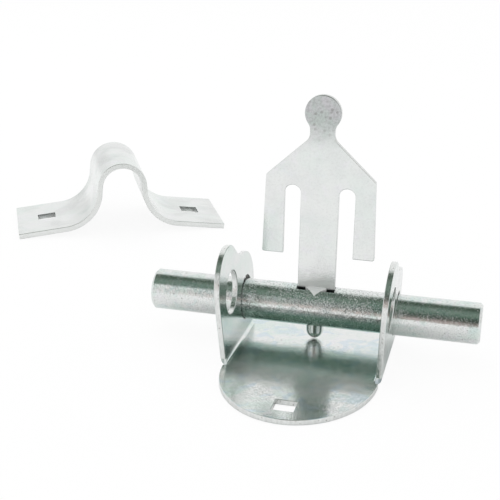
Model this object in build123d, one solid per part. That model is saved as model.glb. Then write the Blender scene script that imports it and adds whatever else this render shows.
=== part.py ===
from build123d import *
from math import acos, atan2, cos, degrees, hypot, radians, sin, sqrt, tan
import os

# Padbolt: a round bolt in a two-eared bracket, with a slotted flat handle and a keeper staple.
# Frame: millimetres, +Z up, X along the bolt, -Y towards the front tongue of the base plate.
# The origin is on the underside of the base plate, midway between the ears, under the bolt.

# Sheet steel, and the bolt with its rest place along X and its middle measured from the rivet
sheet = 2.5
edge_round = 0.3
bolt_diameter = 19.0
bolt_length = 154.0
bolt_chamfer = 1.1
bolt_offset = -0.8
rest_place = -0.9
axis_above_plate = 16.3

# Base plate, with a tongue to the front and one to the rear
tongue_half_width = 34.8
tongue_length = 44.0
coach_hole = 9.4
coach_hole_from_tip = 12.2
relief_radius = 1.5
relief_height = 2.4

# Ears: an outline of two lobes with a saddle between them
ear_half_gap = 33.4
ear_lean = 2.6
bend_radius = 1.5
ear_front = -39.0
ear_rear = 15.0
front_lobe_radius = 17.0
front_lobe_forward = 3.7
front_lobe_rise = 5.7
rear_lobe_radius = 17.0
rear_lobe_rise = 6.2
saddle_radius = 26.0

# Holes in the ears
bolt_hole_play = 2.0
bolt_hole_floor_gap = 0.3
padlock_hole_diameter = 19.8
padlock_hole_forward = 25.6
padlock_hole_gap = 1.6

# Handle, measured outwards from the bolt's axis
body_half_width = 8.7
slot_width = 7.5
slot_play = 6.3
slot_bridge = 3.9
arm_width = 9.9
arm_taper = 1.1
arm_play = 1.8
shoulder_rise = 18.1
neck_half_width = 5.6
head_rise = 11.5
head_radius = 8.2
neck_fillet = 5.0
corner_fillet = 1.0

# Rivet in the bolt, with a square neck that has a corner to the front
shank_diameter = 9.7
neck_side = 8.8
neck_depth = 7.5
neck_proud = 0.15
neck_edge = 0.25
shank_clearance = 0.05

# Handle's foot in its seat on the bolt, and its tongue in the rivet
seat_depth = 1.5
seat_half_width = 3.7
seat_play = 0.2
foot_gap = 0.1
handle_tongue_half_width = 4.6
handle_tongue_depth = 14.0
tongue_clearance = 0.05

# Rivet's tail under the bolt
tail_shoulder = 1.5
tail_diameter = 8.8
tail_taper = 0.3
tail_dome = 3.8
tail_gap = 0.4

# Keeper staple, and where it lies
strap = 3.0
strap_width = 52.0
staple_half_length = 61.0
arch_play = 2.1
arch_head_room = 12.0
leg_slant = 4.5
foot_slope = 6.5
foot_bend = 21.0
staple_hole = 10.5
staple_hole_from_end = 17.7
staple_x = -151.6
staple_y = 145.1
staple_turn = 26.4

# Worked out from the sizes above
bolt_radius = bolt_diameter / 2
axis_z = sheet + axis_above_plate
lean_slope = tan(radians(ear_lean))
bolt_hole_diameter = bolt_diameter + bolt_hole_play
bolt_hole_z = axis_z - bolt_radius - bolt_hole_floor_gap + bolt_hole_diameter / 2
padlock_y = -padlock_hole_forward
padlock_z = axis_z + sheet / 2 + padlock_hole_gap + padlock_hole_diameter / 2
front_lobe = Vector(padlock_y - front_lobe_forward, padlock_z + front_lobe_rise)
rear_lobe = Vector(ear_rear - rear_lobe_radius, axis_z + rear_lobe_rise)
ear_reach = hypot(front_lobe.X, front_lobe.Y - axis_z) + front_lobe_radius
slot_top = ear_reach + slot_play
arm_end = rear_lobe_rise + rear_lobe_radius + arm_play
arm_half_span = body_half_width + slot_width + arm_width
shoulder_height = slot_top + slot_bridge
neck_start = shoulder_height + shoulder_rise
head_centre = neck_start + head_rise
tail_tip = axis_above_plate - tail_gap
neck_foot = bolt_radius - neck_depth
seat_floor = bolt_radius - seat_depth
slot_floor = bolt_radius - handle_tongue_depth
ear_foot = sheet + relief_height
seam_x = -(ear_half_gap + axis_above_plate * lean_slope + sheet / 2)
upwards = (Align.CENTER, Align.CENTER, Align.MIN)
downwards = (Align.CENTER, Align.CENTER, Align.MAX)


def toward(start, end, distance):
    """The point at a distance from one point in the direction of another."""
    return start + (end - start).normalized() * distance


def touch_point(outside, centre, radius, side):
    """Where the line from an outside point touches a circle."""
    run = outside - centre
    swing = degrees(atan2(run.Y, run.X)) + side * degrees(atan2(sqrt(run.length**2 - radius**2), radius))
    return centre + Vector(cos(radians(swing)), sin(radians(swing))) * radius


def saddle_centre():
    """Centre of the arc that joins the two lobes of an ear from above."""
    to_front = front_lobe_radius + saddle_radius
    to_rear = rear_lobe_radius + saddle_radius
    span = rear_lobe - front_lobe
    along = (to_front**2 - to_rear**2 + span.length**2) / (2 * span.length)
    across = sqrt(to_front**2 - along**2)
    unit = span.normalized()
    return front_lobe + unit * along + Vector(-unit.Y, unit.X) * across


def ear_outline():
    """An ear's flat outline above the bend, with its two holes: X is along Y, and Y is up the ear."""
    saddle = saddle_centre()
    base_rear = Vector(ear_rear, ear_foot)
    rear_touch = Vector(ear_rear, rear_lobe.Y)
    saddle_rear = toward(rear_lobe, saddle, rear_lobe_radius)
    saddle_front = toward(front_lobe, saddle, front_lobe_radius)
    front_corner = Vector(ear_front, sheet)
    front_touch = touch_point(front_corner, front_lobe, front_lobe_radius, -1)
    front_edge = front_touch - front_corner
    base_front = front_corner + front_edge * ((ear_foot - sheet) / front_edge.Y)
    rear_middle = toward(rear_lobe, rear_touch + saddle_rear - rear_lobe, rear_lobe_radius)
    saddle_middle = toward(saddle, (saddle_rear + saddle_front) / 2, saddle_radius)
    front_middle = toward(front_lobe, front_lobe + Vector(-1, 1), front_lobe_radius)
    edges = [
        Line(base_rear, rear_touch),
        ThreePointArc(rear_touch, rear_middle, saddle_rear),
        ThreePointArc(saddle_rear, saddle_middle, saddle_front),
        ThreePointArc(saddle_front, front_middle, front_touch),
        Line(front_touch, base_front),
        Line(base_front, base_rear),
    ]
    outline = make_face(edges)
    outline -= Pos(0, bolt_hole_z) * Circle(bolt_hole_diameter / 2)
    outline -= Pos(padlock_y, padlock_z) * Circle(padlock_hole_diameter / 2)
    return Pos(0, -sheet) * outline


def ear(side):
    """One ear as a flat plate with rounded edges, leaning outwards: side is -1 to the left, 1 to the right."""
    inner_face = Plane(
        origin=(side * ear_half_gap, 0, sheet),
        x_dir=(0, 1, 0),
        z_dir=(cos(radians(ear_lean)), 0, -side * sin(radians(ear_lean))),
    )
    plate = extrude(inner_face * ear_outline(), side * sheet)
    faces = plate.faces().sort_by(SortBy.AREA)[-2:]
    foot = ear_foot + edge_round
    rims = [edge for face in faces for edge in face.edges() if edge.center().Z > foot]
    return fillet(rims, edge_round)


def channel_section():
    """End view of the base and its two bends, as a face in X and Z."""
    rise = (ear_foot - sheet) * cos(radians(ear_lean))
    top = sheet + rise
    lean_out = rise * lean_slope
    inside = FilletPolyline(
        (-ear_half_gap - lean_out, top),
        (-ear_half_gap, sheet),
        (ear_half_gap, sheet),
        (ear_half_gap + lean_out, top),
        radius=bend_radius,
    )
    return Plane.XZ * make_face(offset(inside, sheet, side=Side.RIGHT, closed=True))


def tongue(side, start):
    """One rounded tongue of the base plate: side is -1 to the front, 1 to the rear."""
    first = 90 - 90 * side
    rim = EllipticalCenterArc((0, start), tongue_half_width, tongue_length, first, arc_size=180)
    outline = make_face([rim, Line(rim @ 1, rim @ 0)])
    hole_y = start + side * (tongue_length - coach_hole_from_tip)
    outline -= Pos(0, hole_y) * Rectangle(coach_hole, coach_hole)
    plate = extrude(outline, sheet)
    faces = plate.faces().filter_by(Axis.Z)
    rims = [edge for face in faces for edge in face.edges() if abs(edge.center().Y - start) > edge_round]
    return fillet(rims, edge_round)


def bracket():
    """One bent sheet: base plate, two tongues and two ears."""
    length = ear_rear - ear_front
    body = Pos(0, ear_rear, 0) * extrude(channel_section(), length)
    body += tongue(-1, ear_front)
    body += tongue(1, ear_rear)
    notch = Cylinder(relief_radius, ear_foot, align=upwards)
    for side in (-1, 1):
        body += ear(side)
    for side in (-1, 1):
        for y in (ear_front, ear_rear):
            body -= Pos(side * (ear_half_gap + sheet / 2), y, 0) * notch
    return body


def rod(start, end):
    """A length of the bolt along X."""
    return Pos((start + end) / 2, 0, axis_z) * Rot(0, 90, 0) * Cylinder(bolt_radius, end - start)


def bolt_left_end():
    """The plain left end of the bolt, as far as the seam inside the left ear."""
    left = rest_place + bolt_offset - bolt_length / 2
    solid = rod(left, seam_x)
    return chamfer(solid.faces().sort_by(Axis.X)[0].edges(), bolt_chamfer)


def bolt_bar():
    """The rest of the bolt, with the cross hole for the rivet and the seat for the handle's foot."""
    right = rest_place + bolt_offset + bolt_length / 2
    solid = rod(seam_x, right)
    solid = chamfer(solid.faces().sort_by(Axis.X)[-1].edges(), bolt_chamfer)
    hole_radius = shank_diameter / 2 + shank_clearance
    hole_side = neck_side + 2 * shank_clearance
    cutters = Pos(0, 0, neck_foot) * Cylinder(hole_radius, 2 * bolt_diameter, align=downwards)
    cutters += Pos(0, 0, neck_foot) * Rot(0, 0, 45) * Box(hole_side, hole_side, bolt_diameter, align=upwards)
    seat_length = 2 * (body_half_width + seat_play)
    cutters += Pos(0, 0, seat_floor) * Box(seat_length, 2 * seat_half_width, bolt_diameter, align=upwards)
    return solid - Pos(rest_place, 0, axis_z) * cutters


def handle_outline():
    """The handle's face in X and Z, with Z from the bolt's axis."""
    right = [
        (0, slot_floor + tongue_clearance),
        (handle_tongue_half_width, slot_floor + tongue_clearance),
        (handle_tongue_half_width, seat_floor + foot_gap),
        (body_half_width, seat_floor + foot_gap),
        (body_half_width, arm_end),
        (arm_half_span, arm_end),
        (arm_half_span - arm_taper, shoulder_height),
        (neck_half_width, neck_start),
        (neck_half_width, head_centre),
        (0, head_centre),
    ]
    left = [(-x, z) for x, z in reversed(right[1:-1])]
    outline = make_face(Polyline(*right, *left, close=True))
    corners = [v for v in outline.vertices() if abs(v.X) > body_half_width + slot_width]
    outline = fillet(corners, corner_fillet)
    outline += Pos(0, head_centre) * Circle(head_radius)
    neck = [v for v in outline.vertices() if neck_start - edge_round < v.Y < head_centre]
    outline = fillet(neck, neck_fillet)
    slot_length = 2 * (slot_top - arm_end)
    for side in (-1, 1):
        middle = side * (body_half_width + slot_width / 2)
        outline -= Pos(middle, slot_top - slot_length / 2) * SlotOverall(slot_length, slot_width, 90)
    return Plane.XZ * outline


def handle():
    """One flat sheet: head, shoulders, two arms, body and the tongue that goes into the bolt."""
    solid = extrude(handle_outline(), sheet / 2, both=True)
    rims = [edge for face in solid.faces().filter_by(Axis.Y) for edge in face.edges()]
    return Pos(rest_place, 0, axis_z) * fillet(rims, edge_round)


def rivet_neck():
    """The rivet's square neck, one corner to the front, with its top rounded like the bolt."""
    solid = Pos(0, 0, neck_foot) * Rot(0, 0, 45) * Box(neck_side, neck_side, bolt_diameter, align=upwards)
    solid &= Rot(0, 90, 0) * Cylinder(bolt_radius + neck_proud, 2 * neck_side)
    return fillet(solid.edges().filter_by(GeomType.LINE, reverse=True), neck_edge)


def handle_rivet():
    """The pin through the bolt: a slotted neck and shank, and a domed tail under the bolt."""
    shank_radius = shank_diameter / 2
    tail_radius = tail_diameter / 2
    shank_foot = tail_shoulder - bolt_radius
    tip_radius = tail_radius - tail_taper
    dome_radius = (tip_radius**2 + tail_dome**2) / (2 * tail_dome)
    half_cap = acos((dome_radius - tail_dome) / dome_radius) / 2
    dome_centre = -tail_tip + dome_radius
    dome_base = Vector(tip_radius, -tail_tip + tail_dome)
    dome_side = Vector(dome_radius * sin(half_cap), dome_centre - dome_radius * cos(half_cap))
    edges = [
        Line((0, -tail_tip), (0, neck_foot)),
        Line((0, neck_foot), (shank_radius, neck_foot)),
        Line((shank_radius, neck_foot), (shank_radius, shank_foot)),
        Line((shank_radius, shank_foot), (tail_radius, shank_foot)),
        Line((tail_radius, shank_foot), dome_base),
        ThreePointArc(dome_base, dome_side, (0, -tail_tip)),
    ]
    solid = revolve(Plane.XZ * make_face(edges), Axis.Z)
    solid += rivet_neck()
    slot = Box(2 * bolt_diameter, sheet + 2 * tongue_clearance, bolt_diameter, align=upwards)
    solid -= Pos(0, 0, slot_floor) * slot
    return Pos(rest_place, 0, axis_z) * solid


def staple_section():
    """Side view of the strap: two sloping feet, two slanted legs and a round arch, as a face in X and Z."""
    arch_radius = bolt_radius + arch_play
    arch_centre = axis_z + bolt_radius + arch_head_room - arch_radius
    leg_x = arch_radius * cos(radians(leg_slant))
    leg_z = arch_centre + arch_radius * sin(radians(leg_slant))
    leg_run = tan(radians(leg_slant))
    foot_rise = tan(radians(foot_slope))
    drop = (leg_z - (staple_half_length - leg_x) * foot_rise) / (1 - leg_run * foot_rise)
    corner_x = leg_x + drop * leg_run
    corner_z = leg_z - drop
    left = FilletPolyline(
        (-staple_half_length, 0),
        (-corner_x, corner_z),
        (-leg_x, leg_z),
        radius=foot_bend + strap,
    )
    right = FilletPolyline(
        (leg_x, leg_z),
        (corner_x, corner_z),
        (staple_half_length, 0),
        radius=foot_bend + strap,
    )
    arch = ThreePointArc((-leg_x, leg_z), (0, arch_centre + arch_radius), (leg_x, leg_z))
    underside = Curve() + [left, arch, right]
    return Plane.XZ * make_face(offset(underside, strap, side=Side.LEFT, closed=True))


def keeper_staple():
    """One bent strap that takes the end of the bolt."""
    solid = extrude(staple_section(), strap_width / 2, both=True)
    rims = [edge for face in solid.faces().filter_by(Axis.Y) for edge in face.edges()]
    solid = fillet(rims, edge_round)
    for side in (-1, 1):
        along = side * (staple_half_length - staple_hole_from_end * cos(radians(foot_slope)))
        height = staple_hole_from_end * sin(radians(foot_slope))
        cutter = Box(staple_hole, staple_hole, 4 * strap)
        solid -= Pos(along, 0, height) * Rot(0, side * foot_slope, 0) * cutter
    return Pos(staple_x, staple_y, 0) * Rot(0, 0, staple_turn) * solid


def write_parts():
    """Write one file for each piece."""
    os.makedirs("parts", exist_ok=True)
    pieces = {
        "bracket": bracket(),
        "bolt_left_end": bolt_left_end(),
        "bolt_bar": bolt_bar(),
        "handle": handle(),
        "handle_rivet": handle_rivet(),
        "keeper_staple": keeper_staple(),
    }
    for name, piece in pieces.items():
        export_step(piece, f"parts/{name}.step")


write_parts()
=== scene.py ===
import math

import bpy
from mathutils import Matrix, Vector

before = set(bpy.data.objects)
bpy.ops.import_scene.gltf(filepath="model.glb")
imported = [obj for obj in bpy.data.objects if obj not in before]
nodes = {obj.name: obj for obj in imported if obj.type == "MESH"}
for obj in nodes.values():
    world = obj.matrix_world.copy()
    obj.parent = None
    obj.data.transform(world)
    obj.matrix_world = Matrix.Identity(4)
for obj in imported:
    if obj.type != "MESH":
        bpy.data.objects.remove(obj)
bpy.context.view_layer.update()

# Camera: place in metres, angles in degrees, focal length in pixels of a 500 pixel wide picture
picture_width = 500
focal_pixels = 1130.6
sensor_width = 36.0
nearest_seen = 0.01
camera_place = Vector((0.08271, -0.48136, 0.22120))
camera_yaw = 13.51
camera_pitch = 19.80
camera_roll = -1.13

# Sizes of the padbolt that its finishes follow, in metres and degrees
sheet = 0.0025
edge_round = 0.00025
ear_inner = 0.0334
ear_lean = 2.6
ear_front = -0.039
ear_rear = 0.015
axis_height = 0.0188
bore_height = 0.0195
bore_radius = 0.0105
neck_height = 0.1015
rivet_top = 0.0255
rest_place = -0.0009
seat_floor = 0.0268
seat_brim = 0.0280
seat_half_length = 0.0089
seat_half_width = 0.0037
staple_place = (-0.1516, 0.1451)
staple_turn = 26.4
strap_half_width = 0.026

# Where finishes and painted light and shade fade in: each pair says where a mask is 0 and where it
# is 1
ear_fade = (0.0035, 0.0045)
ear_foot_shade_fade = (axis_height - 0.002, axis_height - 0.012)
inner_face_fade = (0.0014, 0.0010)
bend_fade = (ear_inner - 0.0009, ear_inner - 0.0013)
bore_wall_shade_fade = (bore_radius + 0.0006, bore_radius + 0.0002)
seat_wall_fade = (seat_floor + 0.0010, seat_floor + 0.0002)
seat_hole_fade = (seat_floor - 0.0006, seat_floor - 0.0003)
bolt_under_shade_fade = (axis_height + 0.0005, axis_height - 0.0035)
head_wear_and_shade_fade = (neck_height - 0.009, neck_height + 0.006)
handle_foot_light_fade = (seat_brim + 0.0110, seat_brim + 0.0010)
rivet_lit_neck_fade = (rivet_top - 0.0002, rivet_top + 0.0002)

# How softly finishes and painted shade end, and the stretch of the bolt that is handled
edge_soft = 0.00012
edge_outer = edge_round * 0.6
edge_inner = edge_round * 1.4
notch_soft = 0.0003
seat_soft = 0.0001
under_shade_soft = 0.002
handled_left = -0.040
handled_right = 0.026
handled_soft = 0.010
head_wander = 0.008

# Tints: the colours of the zinc's passivated film, the green of the painted shade and reflection
# under the bolt, and the room's doorway
white = (1.0, 1.0, 1.0)
clear_film = (0.98, 1.0, 0.985)
green_film = (0.88, 1.0, 0.94)
teal_film = (0.80, 0.96, 0.95)
lilac_film = (0.97, 0.955, 1.0)
blue_film = (0.76, 0.89, 1.0)
straw_film = (1.0, 0.97, 0.90)
under_shade_green = (0.40, 0.58, 0.50)
doorway_brown = (0.06, 0.04, 0.03)


class Value:
    """One output socket. Arithmetic on it adds Math nodes."""

    def __init__(self, graph, socket):
        self.graph = graph
        self.socket = socket

    def __add__(self, other):
        return self.graph.calculate("ADD", self, other)

    def __radd__(self, other):
        return self.graph.calculate("ADD", other, self)

    def __sub__(self, other):
        return self.graph.calculate("SUBTRACT", self, other)

    def __rsub__(self, other):
        return self.graph.calculate("SUBTRACT", other, self)

    def __mul__(self, other):
        return self.graph.calculate("MULTIPLY", self, other)

    def __rmul__(self, other):
        return self.graph.calculate("MULTIPLY", other, self)

    def __truediv__(self, other):
        return self.graph.calculate("DIVIDE", self, other)

    def __abs__(self):
        return self.graph.calculate("ABSOLUTE", self, 0)

    def output(self, name):
        """Another output of the same node."""
        return Value(self.graph, self.socket.node.outputs[name])


class Graph:
    """The node tree of a material or of the world."""

    def __init__(self, tree):
        self.tree = tree

    def add(self, kind, settings=None, inputs=None, output=0):
        """Adds a node: its settings first, then the values or links of its sockets."""
        node = self.tree.nodes.new(kind)
        for name, value in (settings or {}).items():
            if name == "stops":
                self.set_stops(node.color_ramp, value)
            else:
                setattr(node, name, value)
        for name, value in (inputs or {}).items():
            if isinstance(value, Value):
                self.tree.links.new(value.socket, node.inputs[name])
            else:
                node.inputs[name].default_value = value
        return Value(self, node.outputs[output])

    def set_stops(self, ramp, stops):
        """The places and colours of a colour ramp."""
        while len(ramp.elements) < len(stops):
            ramp.elements.new(1.0)
        for element, (place, colour) in zip(ramp.elements, stops):
            element.position = place
            element.color = (*colour, 1.0)

    def calculate(self, operation, first, second):
        return self.add("ShaderNodeMath", {"operation": operation}, {0: first, 1: second})

    def mix(self, factor, first, second):
        """A colour between two colours. A Mix node keeps its sockets 6, 7 and 2 for colours."""
        settings = {"data_type": "RGBA", "clamp_factor": True}
        return self.add("ShaderNodeMix", settings, {0: factor, 6: first, 7: second}, 2)

    def coat(self, colour, mask, level, tint=white, strength=None):
        """A tinted grey laid over a colour where the mask says."""
        factor = mask if strength is None else mask * strength
        return self.mix(factor, colour, grey(level, tint))

    def place(self, stretch=(1, 1, 1), shift=(0, 0, 0)):
        """The point on the object, in metres, stretched along its axes."""
        point = self.add("ShaderNodeTexCoord", output="Object")
        inputs = {"Vector": point, "Location": shift, "Scale": stretch}
        return self.add("ShaderNodeMapping", None, inputs)

    def noise(self, point, scale, detail=2.0, roughness=0.5, distortion=0.0):
        """Soft noise about 0.5; scale is in waves per metre."""
        inputs = {
            "Vector": point,
            "Scale": scale,
            "Detail": detail,
            "Roughness": roughness,
            "Distortion": distortion,
        }
        return self.add("ShaderNodeTexNoise", None, inputs)

    def patches(self, point, scale, low, high, detail=3.0, roughness=0.6, distortion=0.0):
        """Patches of noise: 0 where it is under low, 1 where it is over high."""
        return self.ramp(self.noise(point, scale, detail, roughness, distortion), low, high)

    def along(self, vector, axis):
        """How far a vector reaches along an axis."""
        inputs = {0: vector, 1: axis}
        return self.add("ShaderNodeVectorMath", {"operation": "DOT_PRODUCT"}, inputs, "Value")

    def axes(self, point):
        """A point's x, y and z."""
        return (self.along(point, axis) for axis in ((1, 0, 0), (0, 1, 0), (0, 0, 1)))

    def ramp(self, value, zero_at, one_at):
        """A smooth step between the values where it is 0 and where it is 1."""
        settings = {"interpolation_type": "SMOOTHSTEP"}
        inputs = {"Value": value, "From Min": zero_at, "From Max": one_at}
        return self.add("ShaderNodeMapRange", settings, inputs)

    def band(self, value, low, high, soft):
        """1 between low and high, and 0 outside."""
        return self.ramp(value, low - soft, low + soft) * self.ramp(value, high + soft, high - soft)

    def dots(self, point, scale, share, radius):
        """Round dots, each in its own cell; only a share of the cells has one."""
        inputs = {"Vector": point, "Scale": scale, "Randomness": 1.0}
        cell = self.add("ShaderNodeTexVoronoi", None, inputs)
        chosen = self.ramp(self.along(cell.output("Color"), (1, 0, 0)), share, share - 0.02)
        return self.ramp(cell, radius, radius * 0.4) * chosen

    def bump(self, height, distance, strength):
        inputs = {"Height": height, "Distance": distance, "Strength": strength}
        return self.add("ShaderNodeBump", None, inputs)

    def finish(self, colour, metal, rough, normal):
        """The shader and the output of a metal material."""
        inputs = {"Base Color": colour, "Metallic": metal, "Roughness": rough, "Normal": normal}
        shader = self.add("ShaderNodeBsdfPrincipled", None, inputs)
        self.add_output("ShaderNodeOutputMaterial", shader)

    def add_output(self, kind, shader):
        output = self.tree.nodes.new(kind)
        self.tree.links.new(shader.socket, output.inputs["Surface"])


def new_material(name):
    material = bpy.data.materials.new(name)
    material.use_nodes = True
    material.node_tree.nodes.clear()
    return material, Graph(material.node_tree)


def grey(level, tint=white):
    return (level * tint[0], level * tint[1], level * tint[2], 1.0)


def film(graph, point, level, scale, green, teal, lilac, blue=0.0):
    """Zinc whose clear film drifts to green, teal, lilac and blue in soft patches."""
    broad = graph.patches(point, scale, low=0.42, high=0.66, distortion=0.8)
    other = graph.patches(point, scale * 1.9, low=0.50, high=0.68, distortion=1.2)
    small = graph.patches(point, scale * 4.3, low=0.50, high=0.70, roughness=0.65, distortion=0.5)
    colour = graph.coat(grey(level, clear_film), broad, level * 0.97, green_film, green)
    colour = graph.coat(colour, small, level * 1.04, lilac_film, lilac)
    if blue:
        frequency = scale * 2.6
        cool = graph.patches(point, frequency, 0.52, 0.66, detail=2.0, roughness=0.5, distortion=0.9)
        colour = graph.coat(colour, cool, level * 0.98, blue_film, blue)
    return graph.coat(colour, other, level * 0.92, teal_film, teal)


def dusting(graph, point, scale=1500):
    """Fine matt grains of the zinc coat, which show where the metal mirrors something dark."""
    return graph.patches(point, scale, low=0.48, high=0.66, detail=2.0, roughness=0.65)


def sheared(graph, colour, rough, edge, across, cut_level, contrast, gloss_loss):
    """The cut edge of the sheet, scored across its thickness."""
    score = graph.patches(across, scale=900, low=0.35, high=0.65, detail=2.0)
    cut = graph.coat(grey(cut_level, clear_film), score, cut_level + contrast, clear_film)
    return graph.mix(edge, colour, cut), rough + edge * (gloss_loss + 0.06 * score)


def bracket_cut_edges(graph, x, y, z, depth, in_ear):
    """Two masks: the cut edges of the ears, and those of the base plate."""
    middle = (ear_front + ear_rear) / 2
    half_length = (ear_rear - ear_front) / 2
    ear_edge = graph.band(depth, edge_round, sheet - edge_round, edge_soft) * in_ear
    clear_of_bend = graph.ramp(abs(x), *bend_fade)
    beyond_ears = graph.ramp(abs(y - middle), half_length, half_length + notch_soft)
    flat = graph.calculate("MAXIMUM", clear_of_bend, beyond_ears)
    base_edge = graph.band(z, edge_round, sheet - edge_round, edge_soft) * flat * (1 - in_ear)
    return ear_edge, base_edge


def bracket_material():
    """The bracket: a cloudy mirror with patches of film and sheared edges, with painted shade low on
    the ears' inner faces and on the walls of their bolt holes.
    """
    material, graph = new_material("bracket_zinc")
    point = graph.place()
    x, y, z = graph.axes(point)
    slope = math.tan(math.radians(ear_lean))
    depth = abs(x) - z * slope - (ear_inner - sheet * slope)
    in_ear = graph.ramp(z, *ear_fade)
    ear_edge, base_edge = bracket_cut_edges(graph, x, y, z, depth, in_ear)
    edge = ear_edge + base_edge
    from_bore = graph.place((0, 1, 1), (0, 0, -bore_height))
    bore = graph.add("ShaderNodeVectorMath", {"operation": "LENGTH"}, {0: from_bore}, "Value")
    # Painted shade: the walls of the ears' bolt holes are painted nearly black.
    bore_wall_shade = ear_edge * graph.ramp(bore, *bore_wall_shade_fade)
    # Painted shade: the inner face of each ear is painted darker and greener below the bolt, down
    # towards the bend.
    painted_foot_tone = in_ear * graph.ramp(z, *ear_foot_shade_fade) * graph.ramp(depth, *inner_face_fade)
    grain = dusting(graph, point)
    cloud = graph.patches(point, scale=55, low=0.36, high=0.66, distortion=0.5)
    freckles = graph.patches(point, scale=520, low=0.50, high=0.72, roughness=0.65)
    specks = graph.dots(point, scale=260, share=0.10, radius=0.16)
    dull = graph.dots(point, scale=700, share=0.30, radius=0.34) * edge
    base_film = film(graph, point, 0.80, 42, green=0.9, teal=0.40, lilac=0.5, blue=0.55)
    ear_film = film(graph, point, 0.73, 42, green=0.8, teal=0.4, lilac=0.4)
    colour = graph.mix(in_ear, base_film, ear_film)
    # Painted shade laid over the lower inner faces of the ears.
    colour = graph.coat(colour, painted_foot_tone, 0.44, green_film, strength=0.75)
    colour = graph.coat(colour, freckles, 0.52, teal_film, strength=0.12)
    colour = graph.coat(colour, specks, 0.34, straw_film, strength=0.6)
    rough = 0.12 + cloud * 0.06 + freckles * 0.06
    across = graph.place((1, 1, 0.15))
    colour, rough = sheared(
        graph, colour, rough, edge, across, cut_level=0.72, contrast=0.10, gloss_loss=0.02
    )
    colour = graph.coat(colour, dull, 0.28, straw_film, strength=0.7)
    # Painted shade on the bolt hole walls.
    colour = graph.coat(colour, bore_wall_shade, 0.10, straw_film)
    metal = 1 - grain * 0.05
    height = graph.noise(point, scale=60) + grain * 0.08 - specks * 0.08
    graph.finish(colour, metal, rough, graph.bump(height, distance=0.0004, strength=0.4))
    return material


def seat_shade_mask(graph, x, y, z):
    """The inside of the seat that the handle sits in, where shade is painted."""
    left = rest_place - seat_half_length
    right = rest_place + seat_half_length
    mask = graph.band(x, left, right, 2 * seat_soft)
    mask *= graph.ramp(abs(y), seat_half_width + seat_soft, seat_half_width - seat_soft)
    return mask * graph.ramp(z, *seat_wall_fade) * graph.ramp(z, *seat_hole_fade)


def rod_material():
    """The bolt: bright drawn rod with pits, hazy along its middle, with painted shade and reflection
    in green below it and painted shade in its seat.
    """
    material, graph = new_material("bolt_zinc")
    point = graph.place()
    drawn = graph.place((0.12, 1, 1))
    x, y, z = graph.axes(point)
    handled = graph.band(x, handled_left, handled_right, handled_soft)
    clouds = graph.patches(
        point, scale=140, low=0.32, high=0.60, detail=4.0, roughness=0.7, distortion=0.4
    )
    haze = clouds * (0.30 + handled * 0.70)
    lines = graph.noise(drawn, scale=900, roughness=0.6)
    grain = dusting(graph, point)
    pits = graph.dots(point, scale=520, share=0.12, radius=0.26)
    spots = graph.patches(point, scale=1150, low=0.50, high=0.64, detail=2.0)
    soot = spots * (0.12 + haze * 0.60)
    # Painted shade and reflection: the underside of the bolt between the ears is painted darker and
    # green.
    under = graph.ramp(z, *bolt_under_shade_fade) * graph.band(x, -ear_inner, ear_inner, under_shade_soft)
    colour = film(graph, point, 0.79, 70, green=0.9, teal=0.5, lilac=0.6)
    colour = graph.coat(colour, soot, 0.30, green_film)
    colour = graph.coat(colour, pits, 0.24, straw_film, strength=0.6)
    colour = graph.coat(colour, under, 1.0, under_shade_green, strength=0.75)
    # Painted shade: the seat in the bolt under the handle is painted nearly black.
    colour = graph.coat(colour, seat_shade_mask(graph, x, y, z), 0.03, green_film, strength=0.9)
    rough = 0.09 + lines * 0.04 + haze * 0.12 + pits * 0.2
    metal = 1 - grain * (0.04 + haze * 0.50)
    relief = grain * (0.08 + haze * 0.30)
    height = graph.noise(drawn, scale=160) + lines * 0.05 + relief - pits * 0.2
    graph.finish(colour, metal, rough, graph.bump(height, distance=0.0003, strength=0.35))
    return material


def worn_and_shaded_colour(graph, point):
    """The handle's head: handled metal that is stained, speckled and smudged, on a dark grey base
    that is painted shade.
    """
    stained = graph.patches(point, scale=110, low=0.34, high=0.66, distortion=0.8)
    speckle = graph.patches(point, scale=850, low=0.42, high=0.62, roughness=0.7)
    smudge = graph.dots(point, scale=420, share=0.35, radius=0.42)
    # Painted shade: the dark grey base; the stains, speckle and smudges over it are wear.
    worn_and_shaded = graph.coat(grey(0.52, green_film), stained, 0.56, lilac_film)
    worn_and_shaded = graph.coat(worn_and_shaded, speckle, 0.28, clear_film, strength=0.5)
    return graph.coat(worn_and_shaded, smudge, 0.16, straw_film, strength=0.6)


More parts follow.
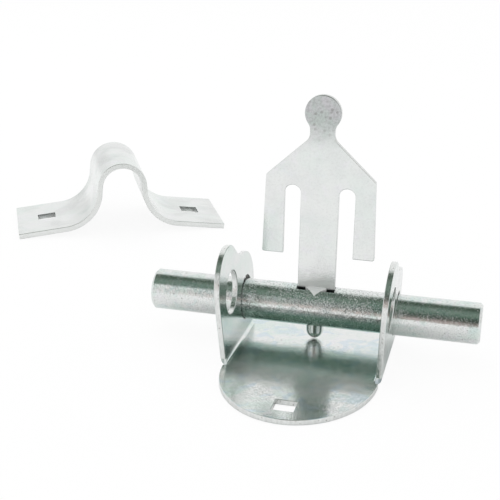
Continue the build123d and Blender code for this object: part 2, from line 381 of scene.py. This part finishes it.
def handle_material():
    """The handle: satin sheet, with wear and painted shade at its head, made less metallic at its
    lower end as painted light, and with painted shade in the seat.
    """
    material, graph = new_material("handle_zinc")
    point = graph.place()
    y = graph.along(point, (0, 1, 0))
    z = graph.along(point, (0, 0, 1))
    edge = graph.ramp(abs(y), sheet / 2 - edge_outer, sheet / 2 - edge_inner)
    mottle = graph.patches(
        point, scale=95, low=0.40, high=0.66, detail=4.0, roughness=0.65, distortion=0.6
    )
    freckles = graph.patches(point, scale=600, low=0.50, high=0.74, roughness=0.7)
    grain = dusting(graph, point, 900)
    wander = graph.noise(point, scale=160) * head_wander - head_wander / 2
    # Wear and painted shade: the head is painted darker, with stains and smudges.
    handled = graph.ramp(z + wander, *head_wear_and_shade_fade)
    painted_foot_tone = graph.ramp(z, *handle_foot_light_fade)
    # Painted shade: the handle is painted nearly black where it sits down in the bolt's seat.
    in_seat_shade = graph.ramp(z, seat_brim + seat_soft, seat_brim - seat_soft)
    colour = film(graph, point, 0.82, 38, green=0.35, teal=0.12, lilac=0.5)
    colour = graph.coat(colour, mottle, 0.66, lilac_film, strength=0.18)
    colour = graph.coat(colour, grain, 0.60, clear_film, strength=0.22)
    colour = graph.mix(handled * 0.85, colour, worn_and_shaded_colour(graph, point))
    rough = 0.11 + mottle * 0.04 + freckles * 0.05 + handled * 0.06
    across = graph.place((1, 0.15, 1))
    colour, rough = sheared(
        graph, colour, rough, edge, across, cut_level=0.66, contrast=0.08, gloss_loss=0.20
    )
    colour = graph.coat(colour, in_seat_shade, 0.04, green_film)
    # Painted light: the lower end is made less metallic so that it shows lighter instead of
    # mirroring the shade below.
    metal = 1 - painted_foot_tone * 0.45
    height = graph.noise(point, scale=40, detail=1.0) + grain * 0.03
    graph.finish(colour, metal, rough, graph.bump(height, distance=0.0002, strength=0.3))
    return material


def staple_material():
    """The keeper staple: pale satin strap with grey clouds, and sheared edges."""
    material, graph = new_material("staple_zinc")
    point = graph.place()
    turn = math.radians(staple_turn)
    across = graph.along(point, (-math.sin(turn), math.cos(turn), 0))
    middle = staple_place[1] * math.cos(turn) - staple_place[0] * math.sin(turn)
    from_middle = abs(across - middle)
    edge = graph.ramp(from_middle, strap_half_width - edge_inner, strap_half_width - edge_outer)
    cloud = graph.patches(
        point, scale=65, low=0.40, high=0.70, detail=2.0, roughness=0.5, distortion=0.5
    )
    freckles = graph.patches(point, scale=560, low=0.50, high=0.72, roughness=0.7)
    colour = film(graph, point, 0.80, 40, green=0.4, teal=0.2, lilac=0.6)
    colour = graph.coat(colour, cloud, 0.58, clear_film, strength=0.35)
    colour = graph.coat(colour, freckles, 0.58, clear_film, strength=0.04)
    rough = 0.20 + cloud * 0.06 + freckles * 0.03
    colour, rough = sheared(
        graph, colour, rough, edge, point, cut_level=0.80, contrast=0.03, gloss_loss=0.10
    )
    height = graph.noise(point, scale=55) + freckles * 0.08
    graph.finish(colour, 1.0, rough, graph.bump(height, distance=0.0003, strength=0.4))
    return material


def rivet_material():
    """The rivet: a turned and bright tail, and a square neck flush with the bolt, made dull and pale
    as a painted reflection.
    """
    material, graph = new_material("rivet_zinc")
    point = graph.place()
    # Painted reflection: the square neck is made pale and matte to stand in for the handle's face
    # mirrored in it.
    lit_neck = graph.ramp(graph.along(point, (0, 0, 1)), *rivet_lit_neck_fade)
    rings = graph.noise(graph.place((0.1, 0.1, 1)), scale=1400, roughness=0.6)
    stain = graph.patches(point, scale=500, low=0.45, high=0.70)
    colour = film(graph, point, 0.86, 120, green=0.4, teal=0.3, lilac=0.4)
    colour = graph.coat(colour, stain, 0.50, green_film, strength=0.25)
    colour = graph.coat(colour, lit_neck, 0.78, clear_film)
    rough = 0.05 + rings * 0.04 + stain * 0.05 + lit_neck * 0.3
    metal = 1 - lit_neck * 0.85
    graph.finish(colour, metal, rough, graph.bump(rings, distance=0.0001, strength=0.3))
    return material


def dress(name, material):
    """Gives a node its finish."""
    for slot in nodes[name].material_slots:
        slot.material = material


bolt_finish = rod_material()
dress("bracket", bracket_material())
dress("bolt_left_end", bolt_finish)
dress("bolt_bar", bolt_finish)
dress("handle", handle_material())
dress("handle_rivet", rivet_material())
dress("keeper_staple", staple_material())


def make_floor():
    """A plain floor, which the camera sees as white with only a trace of shadow."""
    white_share = 0.92
    matte_level = 0.92
    reach = 6.0
    mesh = bpy.data.meshes.new("floor")
    corners = [(-reach, -reach, 0), (reach, -reach, 0), (reach, reach, 0), (-reach, reach, 0)]
    mesh.from_pydata(corners, [], [(0, 1, 2, 3)])
    floor = bpy.data.objects.new("floor", mesh)
    bpy.context.collection.objects.link(floor)
    material, graph = new_material("floor_white")
    seen = graph.add("ShaderNodeLightPath", output="Is Camera Ray")
    matte = graph.add("ShaderNodeBsdfDiffuse", None, {"Color": grey(matte_level)})
    glow = graph.add("ShaderNodeEmission", None, {"Color": grey(1.0), "Strength": 1.0})
    inputs = {0: seen * white_share, 1: matte, 2: glow}
    graph.add_output("ShaderNodeOutputMaterial", graph.add("ShaderNodeMixShader", None, inputs))
    mesh.materials.append(material)


def make_world():
    """A light tent with a dark room in front and a dark slit overhead, seen by reflections only.

    Climb runs from 0 at the front horizon over the zenith to 1 at the rear one. Swing is the angle
    from the front, in degrees to the right.
    """
    world = bpy.data.worlds.new("studio")
    bpy.context.scene.world = world
    world.use_nodes = True
    world.node_tree.nodes.clear()
    graph = Graph(world.node_tree)
    direction = graph.add("ShaderNodeTexCoord", output="Generated")
    right = graph.along(direction, (1, 0, 0))
    forward = graph.along(direction, (0, -1, 0))
    up = graph.along(direction, (0, 0, 1))
    climb = graph.calculate("ARCTAN2", up, forward) / math.pi
    swing = graph.calculate("ARCTAN2", right, forward) * (180 / math.pi)
    stops = [
        (0.00, (0.68, 0.60, 0.57)),
        (0.07, (0.64, 0.55, 0.52)),
        (0.11, (0.20, 0.20, 0.18)),
        (0.15, (0.075, 0.115, 0.095)),
        (0.22, (0.075, 0.13, 0.10)),
        (0.34, (0.18, 0.25, 0.205)),
        (0.42, (0.17, 0.23, 0.19)),
        (0.48, (0.10, 0.14, 0.11)),
        (0.54, (0.065, 0.095, 0.07)),
        (0.59, (0.075, 0.11, 0.08)),
        (0.62, (0.30, 0.34, 0.32)),
        (0.65, (0.88, 0.90, 0.88)),
        (0.72, (1.0, 1.0, 1.0)),
    ]
    tent = graph.add("ShaderNodeValToRGB", {"stops": stops}, {0: climb})
    doorway_width = graph.band(swing, low=-4, high=12, soft=5)
    doorway = doorway_width * graph.band(climb, low=0.0, high=0.24, soft=0.05)
    tent = graph.coat(tent, doorway, 1.0, doorway_brown, strength=0.6)
    low = 1 - graph.ramp(climb, zero_at=0.22, one_at=0.29)
    left_wall = graph.ramp(swing, zero_at=-10, one_at=-19)
    right_wall = graph.ramp(swing, zero_at=26, one_at=48)
    tent = graph.coat(tent, (left_wall + right_wall) * low, 0.95)
    tent = graph.coat(tent, graph.ramp(abs(right), zero_at=0.44, one_at=0.72), 0.88)
    glossy = graph.add("ShaderNodeLightPath", output="Is Glossy Ray")
    colour = graph.mix(glossy, grey(1.0), tent)
    light = graph.add("ShaderNodeBackground", None, {"Color": colour, "Strength": 1.0})
    graph.add_output("ShaderNodeOutputWorld", light)


def make_lamp(name, place, target, size, watts):
    """A square lamp that shows in no reflection."""
    lamp = bpy.data.lights.new(name, "AREA")
    lamp.shape = "SQUARE"
    lamp.size = size
    lamp.energy = watts
    item = bpy.data.objects.new(name, lamp)
    item.location = place
    item.visible_glossy = False
    item.rotation_euler = (Vector(target) - Vector(place)).to_track_quat("-Z", "Y").to_euler()
    bpy.context.collection.objects.link(item)


def make_camera():
    """A level camera turned by its yaw, pitched down, then rolled."""
    yaw, pitch, roll = (math.radians(a) for a in (camera_yaw, camera_pitch, camera_roll))
    level = math.cos(pitch)
    forward = Vector((-math.sin(yaw) * level, math.cos(yaw) * level, -math.sin(pitch)))
    right = Vector((math.cos(yaw), math.sin(yaw), 0))
    down = forward.cross(right)
    right_rolled = right * math.cos(roll) + down * math.sin(roll)
    down_rolled = down * math.cos(roll) - right * math.sin(roll)
    turn = Matrix((right_rolled, -down_rolled, -forward)).transposed()
    data = bpy.data.cameras.new("camera")
    data.sensor_width = sensor_width
    data.lens = focal_pixels / picture_width * sensor_width
    data.clip_start = nearest_seen
    camera = bpy.data.objects.new("camera", data)
    camera.matrix_world = Matrix.Translation(camera_place) @ turn.to_4x4()
    bpy.context.collection.objects.link(camera)
    bpy.context.scene.camera = camera


make_floor()
make_world()
make_lamp("key", place=(-0.5, 0.35, 0.9), target=(0, 0, 0), size=0.9, watts=1.5)
make_camera()
bpy.context.scene.view_settings.view_transform = "Standard"
